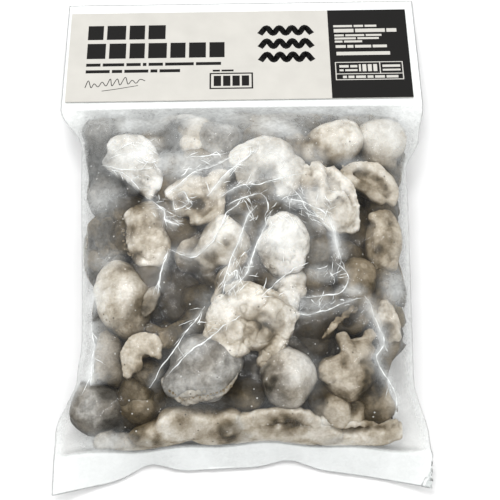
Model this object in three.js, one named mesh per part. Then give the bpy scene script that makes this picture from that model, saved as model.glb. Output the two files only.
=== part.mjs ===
// A clear film bag of frozen baby octopus, lying on its back with the label up.
// The bag is a pillow of thin film between two flat end seals. The long seal at the top is a
// header that carries a printed paper label. Each octopus under the film lifts it into a lump.
// Millimetres, +Z up, +Y towards the header. The origin is on the table under the bag's middle.

import * as THREE from "three";

// Driving dimensions
const FLAT_WIDTH = 180; // across the two end seals, where the film lies flat
const BAG_LENGTH = 256; // from the header's free edge to the lower seal's free edge
const HEADER_LENGTH = 68; // of the header, measured along the table
const HEADER_RISE = 18; // how much higher the header starts at the body than it ends
const HEADER_TIP = 2; // height of the header's free edge above the table
const SEAL_THICKNESS = 1; // two films and the stiffness of their weld, as one plate
const SIDE_HEIGHT = 21; // height of the body's widest line above the table
const LOWER_SEAL_HEIGHT = 12; // height of the line where the lower seal begins
const LOWER_SEAL_WIDTH = 17; // of the welded strip itself
const SEAL_BOW = 5; // how far the lower seal bows towards the body in the middle
const CROWN = 13; // how far the film stands above the side line between the lumps
const HEADER_SHOULDER = 18; // the film takes this far from the header to reach its full height
const SEAL_SHOULDER = 15; // and this far from the lower seal
const LABEL_WIDTH = 173.5;
const LABEL_LENGTH = 57; // along the table
const LABEL_THICKNESS = 0.5;
const LABEL_GAP = 0.3; // between the label and the header under it
const LABEL_LEFT = -88; // x of the label's left edge
const LABEL_FOOT = 64.5; // y of the label's lower edge

const HALF_WIDTH = FLAT_WIDTH / 2;
const TOP_Y = BAG_LENGTH / 2;
const SEAM_Y = TOP_Y - HEADER_LENGTH; // where the header meets the filled body
const HALF_PLATE = SEAL_THICKNESS / 2;

// The outline's half widths on each side, as [y, half width]: the corners of the seals stay flat
// and wide, and the filled body draws in between them.
const LEFT_OUTLINE = [
  [TOP_Y, HALF_WIDTH],
  [SEAM_Y, HALF_WIDTH],
  [40, 79],
  [-60, 76.5],
  [-76, 78.5],
  [-100, 88.5],
  [-TOP_Y, HALF_WIDTH],
];
const RIGHT_OUTLINE = [
  [TOP_Y, HALF_WIDTH],
  [SEAM_Y, HALF_WIDTH],
  [42, 87],
  [26, 80],
  [-78, 78.5],
  [-106, 85],
  [-TOP_Y, HALF_WIDTH],
];

// The octopuses that press against the upper film, as [x, y, height of the lump's top, radius].
const LUMPS = [
  [-54, 32, 40, 14],
  [-15, 42, 35, 16],
  [11, 26, 42, 16],
  [47, 40, 37, 14],
  [67, 41, 34, 12],
  [-20, 18, 41, 13],
  [41, 8, 43, 15],
  [63, 18, 35, 13],
  [-45, -5, 39, 14],
  [-10, -12, 41, 13],
  [22, -15, 44, 15],
  [67, -9, 36, 13],
  [-58, -36, 43, 16],
  [50, -30, 38, 12],
  [-31, -35, 33, 13],
  [3, -51, 46, 18],
  [67, -48, 30, 10],
  [-50, -64, 36, 11],
  [-18, -72, 44, 18],
  [21, -77, 42, 14],
  [49, -75, 40, 16],
  [-68, -88, 30, 13],
  [-42, -91, 28, 13],
  [-13, -95, 29, 14],
  [20, -95, 29, 14],
  [50, -94, 28, 14],
];
const LUMP_FLATNESS = 1.15; // how slowly the film falls away from a lump's top, 1 as a sphere does
const LUMP_BLEND = 1.6; // how softly neighbouring lumps run into each other

// The folds in the lower seal's free edge, as [x, how much less it reaches out there].
const SEAL_FOLDS = [
  [-45, 5.5],
  [20, 4],
];
const FOLD_WIDTH = 10;
const REACH_IN_MIDDLE = 9; // of the drooping seal, along the table
const REACH_AT_CORNERS = 16.5;

const { clamp, lerp, smoothstep } = THREE.MathUtils;

// A smooth curve through a few [place, value] stops, whose places run downwards.
function throughStops(stops, place) {
  for (let i = 1; i < stops.length; i++) {
    const [high, highValue] = stops[i - 1];
    const [low, lowValue] = stops[i];
    if (place >= low) {
      return lerp(lowValue, highValue, smoothstep(place, low, high));
    }
  }
  return stops[stops.length - 1][1];
}

// The line where the lower seal begins
function sealLine(x) {
  const corner = REACH_AT_CORNERS - TOP_Y;
  return corner + SEAL_BOW * (1 - (x / HALF_WIDTH) ** 2);
}

// The lower seal hangs in waves: where it reaches out less, it drops more.
function sealReach(x) {
  let reach = lerp(REACH_IN_MIDDLE, REACH_AT_CORNERS, (x / HALF_WIDTH) ** 2);
  for (const [foldX, depth] of SEAL_FOLDS) {
    reach -= depth * Math.exp(-(((x - foldX) / FOLD_WIDTH) ** 2));
  }
  return reach;
}

function sealDrop(x) {
  const fullDrop = Math.sqrt(LOWER_SEAL_WIDTH ** 2 - sealReach(x) ** 2);
  return Math.min(fullDrop, LOWER_SEAL_HEIGHT - SEAL_THICKNESS);
}

// Height of the flat seam: down the header, level along the body, and down to the lower seal.
function seamHeight(y) {
  if (y >= SEAM_Y) {
    return HEADER_TIP + (HEADER_RISE * (TOP_Y - y)) / HEADER_LENGTH;
  }
  const atHeader = HEADER_TIP + HEADER_RISE;
  const nearHeader = smoothstep(y, SEAM_Y - 30, SEAM_Y);
  const nearLowerSeal = smoothstep(y, -TOP_Y + LOWER_SEAL_WIDTH, -60);
  const level = lerp(SIDE_HEIGHT, atHeader, nearHeader);
  return lerp(LOWER_SEAL_HEIGHT, level, nearLowerSeal);
}

// How far the film has risen from the nearer seal, from 0 at the seal to 1 along the body.
function risen(x, y, headerShoulder, sealShoulder) {
  const fromHeader = clamp((SEAM_Y - y) / headerShoulder, 0, 1);
  const fromSeal = clamp((y - sealLine(x)) / sealShoulder, 0, 1);
  return Math.sin((fromHeader * Math.PI) / 2) * Math.sin((fromSeal * Math.PI) / 2);
}

// How far the film has risen from the nearer side, from 0 at the edge to 1 in the middle.
function bowed(across, flatness, sharpness) {
  return (1 - Math.abs(across) ** flatness) ** sharpness;
}

// The upper film: a pillow whose height blends with a dome over each octopus.
function upperFilm(x, y, across) {
  const bow = bowed(across, 2.6, 0.6);
  let blended = Math.exp((CROWN * bow) / LUMP_BLEND);
  for (const [lumpX, lumpY, top, radius] of LUMPS) {
    const fall = ((x - lumpX) ** 2 + (y - lumpY) ** 2) / (2 * radius * LUMP_FLATNESS);
    const dome = top - seamHeight(y) - fall;
    if (dome > 0) {
      blended += Math.exp((dome * bow) / LUMP_BLEND) - 1;
    }
  }
  const lift = LUMP_BLEND * Math.log(blended);
  return seamHeight(y) + HALF_PLATE + lift * risen(x, y, HEADER_SHOULDER, SEAL_SHOULDER);
}

// The lower film lies flat on the table and turns up to the sides and the seals.
function lowerFilm(x, y, across) {
  const bow = bowed(across, 3.2, 0.5);
  const droop = SIDE_HEIGHT * 1.07 * bow * risen(x, y, 1.5 * HEADER_SHOULDER, 1.5 * SEAL_SHOULDER);
  return Math.max(0, seamHeight(y) - HALF_PLATE - droop);
}

// A closed solid between an upper and a lower grid of points with the same outline.
// pointAt(column, row) gives {x, y, upper, lower}. Row 0 is at the greatest y.
function solidBetween(columns, rows, pointAt) {
  const positions = [];
  for (const side of ["upper", "lower"]) {
    for (let row = 0; row <= rows; row++) {
      for (let column = 0; column <= columns; column++) {
        const point = pointAt(column, row);
        positions.push(point.x, point.y, point[side]);
      }
    }
  }
  const stride = columns + 1;
  const lowerStart = stride * (rows + 1);
  const faces = [];
  const quad = (a, b, c, d) => faces.push(a, b, c, a, c, d);
  for (let row = 0; row < rows; row++) {
    for (let column = 0; column < columns; column++) {
      const here = row * stride + column;
      quad(here, here + stride, here + stride + 1, here + 1);
      const under = lowerStart + here;
      quad(under, under + 1, under + stride + 1, under + stride);
    }
  }
  const rim = [];
  for (let column = 0; column < columns; column++) rim.push(column);
  for (let row = 0; row < rows; row++) rim.push(row * stride + columns);
  for (let column = columns; column > 0; column--) rim.push(rows * stride + column);
  for (let row = rows; row > 0; row--) rim.push(row * stride);
  rim.forEach((here, i) => {
    const next = rim[(i + 1) % rim.length];
    quad(here, next, lowerStart + next, lowerStart + here);
  });
  const geometry = new THREE.BufferGeometry();
  geometry.setAttribute("position", new THREE.Float32BufferAttribute(positions, 3));
  geometry.setIndex(faces);
  geometry.computeVertexNormals();
  return geometry;
}

// The film bag with what fills it
function filmBag() {
  const headerRows = 5;
  const bodyRows = 44;
  const sealRows = 4;
  const columns = 40;
  const bodyEnd = headerRows + bodyRows;
  const cornerSealY = sealLine(HALF_WIDTH);

  const pointAt = (column, row) => {
    const evenly = (2 * column) / columns - 1;
    const closerAtSides = Math.sin((evenly * Math.PI) / 2);
    const across = lerp(evenly, closerAtSides, 0.45);
    let rimY = lerp(TOP_Y, SEAM_Y, row / headerRows);
    if (row > bodyEnd) {
      rimY = lerp(cornerSealY, -TOP_Y, (row - bodyEnd) / sealRows);
    } else if (row > headerRows) {
      rimY = lerp(SEAM_Y, cornerSealY, (row - headerRows) / bodyRows);
    }
    const outline = across < 0 ? LEFT_OUTLINE : RIGHT_OUTLINE;
    const x = across * throughStops(outline, rimY);
    if (row <= headerRows) {
      const middle = seamHeight(rimY);
      return { x, y: rimY, upper: middle + HALF_PLATE, lower: middle - HALF_PLATE };
    }
    if (row >= bodyEnd) {
      const along = (row - bodyEnd) / sealRows;
      const y = sealLine(x) - sealReach(x) * along;
      const middle = LOWER_SEAL_HEIGHT - sealDrop(x) * along;
      return { x, y, upper: middle + HALF_PLATE, lower: middle - HALF_PLATE };
    }
    const y = lerp(SEAM_Y, sealLine(x), (row - headerRows) / bodyRows);
    return { x, y, upper: upperFilm(x, y, across), lower: lowerFilm(x, y, across) };
  };

  const material = new THREE.MeshStandardMaterial({
    color: 0xc9c6bd,
    roughness: 0.25,
    metalness: 0,
  });
  const geometry = solidBetween(columns, bodyEnd + sealRows, pointAt);
  const mesh = new THREE.Mesh(geometry, material);
  mesh.name = "film_bag";
  return mesh;
}

// The printed paper label on the header's front
function label() {
  const columns = 12;
  const rows = 4;
  const pointAt = (column, row) => {
    const x = LABEL_LEFT + (LABEL_WIDTH * column) / columns;
    const y = LABEL_FOOT + LABEL_LENGTH * (1 - row / rows);
    const lower = seamHeight(y) + HALF_PLATE + LABEL_GAP;
    return { x, y, upper: lower + LABEL_THICKNESS, lower };
  };
  const material = new THREE.MeshStandardMaterial({
    color: 0xdddad2,
    roughness: 0.55,
    metalness: 0,
  });
  const mesh = new THREE.Mesh(solidBetween(columns, rows, pointAt), material);
  mesh.name = "label";
  return mesh;
}

const bag = new THREE.Group();
bag.add(filmBag(), label());

export default bag;
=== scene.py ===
import math

import bmesh
import bpy
import numpy as np
from mathutils import Matrix, Vector, noise
from mathutils.bvhtree import BVHTree


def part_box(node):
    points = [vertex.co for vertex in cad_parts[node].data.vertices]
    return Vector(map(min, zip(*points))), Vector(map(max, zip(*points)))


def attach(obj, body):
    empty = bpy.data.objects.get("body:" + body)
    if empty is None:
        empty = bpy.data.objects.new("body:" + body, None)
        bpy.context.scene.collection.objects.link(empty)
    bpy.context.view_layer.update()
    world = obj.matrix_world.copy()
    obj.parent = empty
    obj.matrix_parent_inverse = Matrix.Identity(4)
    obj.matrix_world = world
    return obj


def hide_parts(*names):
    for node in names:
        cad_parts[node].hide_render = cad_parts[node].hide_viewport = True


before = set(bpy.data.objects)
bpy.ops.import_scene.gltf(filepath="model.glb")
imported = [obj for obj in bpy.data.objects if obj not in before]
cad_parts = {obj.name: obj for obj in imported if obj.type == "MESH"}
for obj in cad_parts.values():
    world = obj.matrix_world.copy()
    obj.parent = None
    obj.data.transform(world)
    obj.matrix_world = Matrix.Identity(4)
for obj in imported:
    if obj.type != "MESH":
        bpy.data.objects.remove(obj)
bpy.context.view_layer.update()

# The view
# A camera looks down on the bag from a little below its lower seal, as a catalogue picture does.
# Its place comes from fitting the bag's seals and sides to their known sizes.

LOOK_AT = Vector((0.003, -0.0142, 0.020))
CAMERA_DISTANCE = 0.62
CAMERA_TILT = math.radians(18.0)
CAMERA_ROLL = math.radians(-0.83)
SENSOR_WIDTH = 36.0
FOCAL_LENGTH = 93.3


def added_object(name, data):
    """A new object in the scene for a mesh, a curve, a light or a camera."""
    made = bpy.data.objects.new(name, data)
    bpy.context.scene.collection.objects.link(made)
    return made


camera_data = bpy.data.cameras.new("camera")
camera_data.sensor_width = SENSOR_WIDTH
camera_data.lens = FOCAL_LENGTH
camera_data.clip_start = 0.01
camera = added_object("camera", camera_data)
camera_turn = Matrix.Rotation(CAMERA_TILT, 4, "X") @ Matrix.Rotation(CAMERA_ROLL, 4, "Z")
step_back = Matrix.Translation((0, 0, CAMERA_DISTANCE))
camera.matrix_world = Matrix.Translation(LOOK_AT) @ camera_turn @ step_back
bpy.context.scene.camera = camera
bpy.context.scene.view_settings.view_transform = "Standard"

# The table and the light
# A pale table top and soft studio light from above, with a few smaller lamps whose reflections
# draw the bright lines along the film's creases.

FLOOR_HALF = 1.6
FLOOR_DROP = 0.0003
SKY_STRENGTH = 0.43


def finished_mesh(name, shape):
    """The mesh that a shape becomes once it is done."""
    mesh = bpy.data.meshes.new(name)
    shape.to_mesh(mesh)
    shape.free()
    return mesh


def new_finish(name):
    """A material made of nodes, with its node tree and its main shader."""
    finish = bpy.data.materials.new(name)
    finish.use_nodes = True
    return finish, finish.node_tree, finish.node_tree.nodes["Principled BSDF"]


def set_inputs(tree, node, inputs):
    """Links each input that is given another node's output, and sets the others to their value."""
    for name, value in inputs.items():
        if isinstance(value, bpy.types.NodeSocket):
            tree.links.new(value, node.inputs[name])
        else:
            node.inputs[name].default_value = value


floor_shape = bmesh.new()
bmesh.ops.create_grid(floor_shape, x_segments=1, y_segments=1, size=FLOOR_HALF)
bmesh.ops.translate(floor_shape, vec=(0, 0, -FLOOR_DROP), verts=floor_shape.verts)
floor = added_object("floor", finished_mesh("floor", floor_shape))
floor_finish, floor_tree, floor_shader = new_finish("pale_table")
set_inputs(floor_tree, floor_shader, {"Base Color": (0.86, 0.86, 0.86, 1), "Roughness": 0.8})
floor.data.materials.append(floor_finish)

world = bpy.data.worlds.new("studio")
world.use_nodes = True
sky = world.node_tree.nodes["Background"]
set_inputs(world.node_tree, sky, {"Color": (1.0, 1.0, 1.0, 1), "Strength": SKY_STRENGTH})
bpy.context.scene.world = world


def lamp(name, place, width, depth, power):
    """A rectangular soft light at a place, turned to shine at the middle of the table."""
    light = bpy.data.lights.new(name, "AREA")
    light.shape = "RECTANGLE"
    light.size = width
    light.size_y = depth
    light.energy = power
    facing = Vector(place).to_track_quat("Z", "Y").to_matrix().to_4x4()
    added_object(name, light).matrix_world = Matrix.Translation(place) @ facing


lamp("key", (-0.10, 0.42, 0.95), 0.34, 0.24, 3.6)
lamp("left", (-0.46, 0.22, 0.80), 0.05, 0.60, 1.85)
lamp("right", (0.46, 0.18, 0.80), 0.05, 0.60, 1.65)
lamp("top", (0.0, 0.80, 0.62), 0.80, 0.05, 1.7)
lamp("front", (0.0, -0.40, 0.80), 0.80, 0.04, 3.0)

# The octopuses
# Whole baby octopuses, cleaned and frozen one by one: a soft round body with its eight arms curled
# up against it. They lie loose on each other, and the film presses the upper ones a little flat.

MM = 0.001
GRID_STEP = 1.0 * MM
PRESS = 0.45 * MM  # between the flesh and the outside of the film
SOFTNESS = 0.8 * MM  # how gently a pressed body rounds off into its flat patch
HALVINGS = 14
SKIN_ROUNDS = 3  # how often a fused skin is smoothed
HOLLOW_ROUNDS = 14  # and how often again, to find the hollows in it
noise.seed_set(4)  # without it the vector noise would differ in every run

bag_low, bag_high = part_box("film_bag")
bag_tree = BVHTree.FromObject(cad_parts["film_bag"], bpy.context.evaluated_depsgraph_get())
grid_x = np.arange(bag_low.x, bag_high.x + GRID_STEP, GRID_STEP)
grid_y = np.arange(bag_low.y, bag_high.y + GRID_STEP, GRID_STEP)


def bag_surface(x, y, from_above):
    """The height of the bag's upper or lower side at a point, or None beside the bag."""
    start = Vector((x, y, 0.2 if from_above else -0.2))
    hit = bag_tree.ray_cast(start, Vector((0, 0, -1 if from_above else 1)))[0]
    return hit.z if hit else None


def surface_grid(from_above):
    """The bag's upper or lower side as a grid of heights, with nothing beside the bag."""
    heights = np.full((len(grid_y), len(grid_x)), np.nan)
    for row, y in enumerate(grid_y):
        for column, x in enumerate(grid_x):
            height = bag_surface(x, y, from_above)
            if height is not None:
                heights[row, column] = height
    return heights


def read_grid(heights, x, y):
    """The grid's heights at many points, blended between its four nearest values."""
    across = np.clip((x - grid_x[0]) / GRID_STEP, 0, len(grid_x) - 1.001)
    along = np.clip((y - grid_y[0]) / GRID_STEP, 0, len(grid_y) - 1.001)
    column = across.astype(int)
    row = along.astype(int)
    s = across - column
    t = along - row
    near = heights[row, column] * (1 - s) + heights[row, column + 1] * s
    far = heights[row + 1, column] * (1 - s) + heights[row + 1, column + 1] * s
    return near * (1 - t) + far * t


def filled_outwards(heights):
    """The grid with its empty places filled from their nearest neighbours, step by step."""
    heights = heights.copy()
    while np.isnan(heights).any():
        padded = np.pad(heights, 1, constant_values=np.nan)
        around = [padded[:-2, 1:-1], padded[2:, 1:-1], padded[1:-1, :-2], padded[1:-1, 2:]]
        known = sum(~np.isnan(side) for side in around)
        total = sum(np.nan_to_num(side) for side in around)
        reached = np.isnan(heights) & (known > 0)
        heights[reached] = total[reached] / known[reached]
    return heights


top_grid = filled_outwards(surface_grid(True))
bottom_grid = filled_outwards(surface_grid(False))
# The highest and the lowest flesh in each cell, for the films that lie on it and under it
flesh_top = np.full(top_grid.shape, -1.0)
flesh_foot = np.full(top_grid.shape, 1.0)


def reach_of_bag(x, y, toward_x, toward_y):
    """How far the bag reaches from a point on it in one direction, by halving the doubt."""
    inside = 0.0
    outside = 0.2
    for _ in range(HALVINGS):
        trial = (inside + outside) / 2
        if bag_surface(x + toward_x * trial, y + toward_y * trial, True) is None:
            outside = trial
        else:
            inside = trial
    return inside


outline_y = np.linspace(bag_low.y + 18 * MM, bag_high.y - 0.2 * MM, 120)
left_side = np.array([-reach_of_bag(0, y, -1, 0) for y in outline_y])
right_side = np.array([reach_of_bag(0, y, 1, 0) for y in outline_y])
foot_x = np.linspace(bag_low.x + 1 * MM, bag_high.x - 1 * MM, 120)
free_edge = np.array([-90 * MM - reach_of_bag(x, -90 * MM, 0, -1) for x in foot_x])
SIDE_ROOM = 3.2 * MM  # between the flesh and the bag's right side
LEFT_ROOM = [(-85, 3.2), (-70, 4.4), (-30, 4.4), (-5, 1.8)]  # and its left side, along y
FOOT_ROOM = 0.4 * MM  # between the flesh and the lower weld
HEAD_ROOM = 4.0 * MM  # between the flesh and the header
PINCH_DEPTH = 8.0 * MM  # how far the right side is pinched in, below a fold
PINCH_TOP = -57 * MM
PINCH_FULL = -72 * MM
HEADER_LENGTH = 68 * MM
SEAL_CORNER = 16.5 * MM  # how far the lower weld lies from the bag's end at its corners
SEAL_BOW = 5 * MM  # and how much farther it lies in the middle


def smooth_step(values, low, high):
    """0 below low, 1 above high, and a smooth rise between them."""
    t = np.clip((values - low) / (high - low), 0, 1)
    return t * t * (3 - 2 * t)


def weld_line(x):
    """Where the lower weld runs: nearer the bag's end at its corners than in the middle."""
    wave = 0.6 * MM * (np.sin(x / (6.5 * MM)) + np.sin(x / (15 * MM) + 1))
    return bag_low.y + SEAL_CORNER + SEAL_BOW * (1 - (x / bag_high.x) ** 2) + wave


def at_least(values, limit, soft):
    """The values raised to a limit, rounding off gently where they meet it."""
    return limit + soft * np.logaddexp(0, (values - limit) / soft)


def at_most(values, limit, soft):
    """The values lowered to a limit, rounding off gently where they meet it."""
    return limit - soft * np.logaddexp(0, (limit - values) / soft)


def held_in(points):
    """The points moved gently inside the bag's sides and its two welded ends."""
    x, y, z = points.T
    soft = 1.5 * MM
    uneven = 1.2 * MM * (np.sin(y / (11 * MM)) + np.sin(y / (4.6 * MM) + z / (6 * MM)))
    left_room = np.interp(y / MM, *zip(*LEFT_ROOM)) * MM
    left = np.interp(y, outline_y, left_side) + left_room + uneven * left_room / SIDE_ROOM
    pinch = PINCH_DEPTH * smooth_step(-y, -PINCH_TOP, -PINCH_FULL)
    right = np.interp(y, outline_y, right_side) - SIDE_ROOM + uneven - pinch
    x = at_least(at_most(x, right, soft), left, soft)
    y = at_least(y, weld_line(x) + FOOT_ROOM, soft)
    y = at_most(y, bag_high.y - HEADER_LENGTH - HEAD_ROOM, soft)
    return np.stack([x, y, z], axis=1)


def smooth_route(route, steps=6):
    """Points on a smooth curve through a route."""
    points = [Vector(p) for p in route]
    ends = [2 * points[0] - points[1], *points, 2 * points[-1] - points[-2]]
    for before, start, end, after in zip(ends, ends[1:], ends[2:], ends[3:]):
        for step in range(steps):
            t = step / steps
            lean = (end - before) * t
            bend = (2 * before - 5 * start + 4 * end - after) * t**2
            twist = (3 * start - before - 3 * end + after) * t**3
            yield start + 0.5 * (lean + bend + twist)
    yield points[-1]


def add_sac(shape, place, length, width, depth, heading, narrowing=0.22):
    """An egg of flesh, wide at the far end and narrower towards its heading."""
    made = bmesh.ops.create_icosphere(shape, subdivisions=3, radius=1)["verts"]
    for vert in made:
        waist = 1 - narrowing * max(0.0, vert.co.x) ** 1.5
        vert.co.y *= waist
        vert.co.z *= waist
        vert.co *= 1 + 0.22 * noise.noise(vert.co * 1.3 + place * 350)
    size = Matrix.Diagonal((length / 2, width / 2, depth / 2, 1))
    turn = Matrix.Rotation(math.radians(heading), 4, "Z")
    bmesh.ops.transform(shape, matrix=Matrix.Translation(place) @ turn @ size, verts=made)


def add_arm(shape, route, base, tip):
    """A tapering arm of flesh along a route, as a chain of uneven beads that will be fused."""
    arm = bmesh.new()
    beads = list(smooth_route(route, 3))
    for i, bead in enumerate(beads):
        radius = base + (tip - base) * i / (len(beads) - 1)
        radius *= 1 + 0.30 * noise.noise(bead * 260)
        bmesh.ops.create_icosphere(arm, subdivisions=1, radius=radius, matrix=Matrix.Translation(bead))
    mesh = finished_mesh("arm", arm)
    shape.from_mesh(mesh)
    bpy.data.meshes.remove(mesh)


def curled_route(start, heading, length, bend, rise):
    """An arm's route that starts straight and curls up more and more towards its tip."""
    joints = 9
    angle = math.radians(heading)
    point = Vector(start)
    route = [point.copy()]
    for joint in range(joints):
        part = (joint + 1) / joints
        angle += math.radians(bend) * part / joints * 2
        stride = length / joints
        lift = rise * stride * (1 - part)
        point += Vector((stride * math.cos(angle), stride * math.sin(angle), lift))
        route.append(point.copy())
    return route


def fuse(shape, voxel):
    """One closed skin round everything in a shape, with its points and edges as arrays."""
    mesh = finished_mesh("fused", shape)
    holder = added_object("fused", mesh)
    remesh = holder.modifiers.new("fuse", "REMESH")
    remesh.mode = "VOXEL"
    remesh.voxel_size = voxel
    depsgraph = bpy.context.evaluated_depsgraph_get()
    skin = bpy.data.meshes.new_from_object(holder.evaluated_get(depsgraph))
    bpy.data.objects.remove(holder)
    bpy.data.meshes.remove(mesh)
    points = np.zeros(len(skin.vertices) * 3)
    skin.vertices.foreach_get("co", points)
    ends = np.zeros(len(skin.edges) * 2, int)
    skin.edges.foreach_get("vertices", ends)
    return skin, points.reshape(-1, 3), ends.reshape(-1, 2)


def relax(points, ends, rounds):
    """The points after each has moved halfway to its neighbours' middle, many times."""
    total = len(points)
    neighbours = np.bincount(ends.ravel(), minlength=total)[:, None]
    for _ in range(rounds):
        sums = np.stack(
            [
                np.bincount(ends[:, 0], points[ends[:, 1], axis], total)
                + np.bincount(ends[:, 1], points[ends[:, 0], axis], total)
                for axis in range(3)
            ],
            axis=1,
        )
        points = (points + sums / neighbours) / 2
    return points


# Dark patches on the skin, in millimetres: x, y, radius and how dark. Some are brown skin that was
# left on; others are painted shade in hollows, in the slit under a curled arm and on shaded sides
SKIN_AND_SHADE_PATCHES = [
    (-31, 46, 6, 0.55), (34, 39, 5, 0.50), (38, 30, 5, 0.45), (46, 26, 6, 0.35), (-21, 4, 3.2, 1.0),
    (-30, 6, 3.5, 0.40), (-7, 14, 4, 0.50), (-7, -16, 3.6, 0.40), (-15, -22, 3.4, 0.35),
    (-54, -8, 3.6, 0.50), (-52, -20, 3.6, 0.45), (-50, 5, 4, 0.35), (-9, -102, 5.5, 0.45),
    (10, -99.5, 4, 0.25), (15, -99.5, 4, 0.45), (20, -99.5, 4, 0.45), (25, -99.5, 4, 0.30),
    (57.5, 20.6, 2.0, 0.30), (60.5, 19.8, 2.0, 0.34), (63.4, 18.8, 2.0, 0.36), (66.0, 16.9, 2.0, 0.36),
    (68.0, 14.4, 2.0, 0.34), (69.3, 11.6, 2.0, 0.30), (-48, -48, 8, 0.25), (-30, -97, 5, 0.20),
    (-31, -37, 13, 0.30), (57, -98, 5, 0.30), (69, -12, 4, 0.25), (-12, 42, 8, 0.25), (36, -50, 8, 0.30),
    (50, -49, 7, 0.30), (33, -64, 9, 0.35), (7, -61, 8, 0.30), (-43, -72, 3, 0.50), (-14, -31, 6, 0.25),
    (27, 9, 5, 0.30), (-63, -100, 5, 0.30), (-63, -81, 6, 0.35), (-51, -103, 3, 0.40),
    (-41, -104, 3, 0.35), (-55, -25, 5, 0.35), (-68, -6, 6, 0.30), (8, -55, 4.5, 0.35),
    (16, -57, 3, 0.25), (66, -56, 4, 0.45), (64, -18, 3, 0.35), (57, 14, 4, 0.30), (9, -80, 9, 0.50),
    (16, -90, 6, 0.16), (61, -77, 7, 0.50), (57, -86, 6, 0.40), (-46, -76, 5, 0.40), (-49, -98, 5, 0.45),
    (-28, -58, 6, 0.25), (0, 19, 5, 0.25), (-66, 30, 4, 0.30), (-50, 14, 5, 0.40),
]

# Painted shade: flesh deep in these gaps is darkened, and no deeper octopus is placed in them
SHADED_GAPS = [(-22, -27), (33, -62), (28, 4)]  # dark gaps that go deep, in millimetres
GAP_REACH = 8.5

octopus_groups = {}


def store(mesh, name, values):
    """Keeps a value for each of a mesh's points under a name."""
    mesh.attributes.new(name, "FLOAT", "POINT").data.foreach_set("value", values)


def finish_octopus(shape, group, tone, voxel, folds=0.0, cool=0.3, rough=1.0):
    """Fuses an octopus, presses it under the film and stores how pale and how grey its skin is, with
    painted shade in its hollows, on its sides and deep under the film.
    """
    skin, points, ends = fuse(shape, voxel)
    points = relax(points, ends, SKIN_ROUNDS)
    even = relax(points, ends, HOLLOW_ROUNDS)
    skin.vertices.foreach_set("co", points.ravel())
    normals = np.zeros(len(skin.vertices) * 3)
    skin.vertices.foreach_get("normal", normals)
    normals = normals.reshape(-1, 3)
    hollow = ((even - points) * normals).sum(1) / MM

    places = [Vector(p) for p in points]
    broad = np.array([noise.noise(p * 45.0) for p in places])
    lumps = np.array([noise.noise(p * 95.0) for p in places])
    wrinkles = np.array([noise.noise(p * 300.0) for p in places])
    stains = np.array([noise.fractal(p * 70.0, 0.8, 2.2, 3) for p in places])
    creased = np.array([abs(noise.noise(p * 130.0 + noise.noise_vector(p * 110.0))) for p in places])
    valley = np.clip(1 - creased / 0.16, 0, 1) ** 2
    swell = 1.5 * broad + rough * (0.9 * lumps + 0.40 * wrinkles) - folds * valley
    points = points + normals * (swell * MM)[:, None]
    points = held_in(points)

    film = read_grid(top_grid, points[:, 0], points[:, 1]) - PRESS
    points[:, 2] = at_most(points[:, 2], film, SOFTNESS)
    table = read_grid(bottom_grid, points[:, 0], points[:, 1]) + PRESS
    points[:, 2] = at_least(points[:, 2], table, SOFTNESS)
    skin.vertices.foreach_set("co", points.ravel())
    column = np.rint((points[:, 0] - grid_x[0]) / GRID_STEP).astype(int)
    row = np.rint((points[:, 1] - grid_y[0]) / GRID_STEP).astype(int)
    np.maximum.at(flesh_top, (row, column), points[:, 2])
    np.minimum.at(flesh_foot, (row, column), points[:, 2])

    depth = (film + PRESS - points[:, 2]) / MM
    facing_up = np.clip(normals[:, 2], 0, 1)
    pale = tone + rough * (0.20 * lumps + 0.10 * wrinkles - 0.35 * np.clip(stains, 0, 0.8))
    # Painted shade: the skin is darker in its hollows and in the valleys of its folds
    pale = pale - 0.80 * rough * np.clip(hollow, 0, 1.0) - 0.30 * folds * valley
    # Painted shade: the sides that turn away from the light above are darker
    pale = pale - 0.30 * (1 - facing_up) ** 2
    # Dark patches: brown skin in some places, painted shade in hollows and slits in others
    for x, y, radius, dark in SKIN_AND_SHADE_PATCHES:
        away = ((points[:, 0] - x * MM) ** 2 + (points[:, 1] - y * MM) ** 2) / (radius * MM) ** 2
        pale = pale - dark * np.exp(-(away**1.5)) * (1 + 1.2 * wrinkles)
    # Painted shade: the deeper the flesh lies under the film, the darker it is
    pale = pale * (1 - 0.80 * smooth_step(depth, 1.5, 11.0))
    # Painted shade: darker still deep in the gaps listed above
    for x, y in SHADED_GAPS:
        away = np.hypot(points[:, 0] / MM - x, points[:, 1] / MM - y) / GAP_REACH
        pale = pale * (1 - 0.85 * np.exp(-(away**4)) * smooth_step(depth, 3.0, 7.0))
    store(skin, "pale", np.clip(pale, 0, 1))
    store(skin, "cool", np.clip(cool + 0.4 * lumps * min(1, 3 * cool), 0, 1))
    octopus_groups.setdefault(group, []).append(skin)


def under_film(x, y, below):
    """A place in metres that lies so many millimetres under the film, for x and y in millimetres."""
    film = read_grid(top_grid, np.array([x * MM]), np.array([y * MM]))[0]
    return Vector((x * MM, y * MM, film - below * MM))


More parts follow.
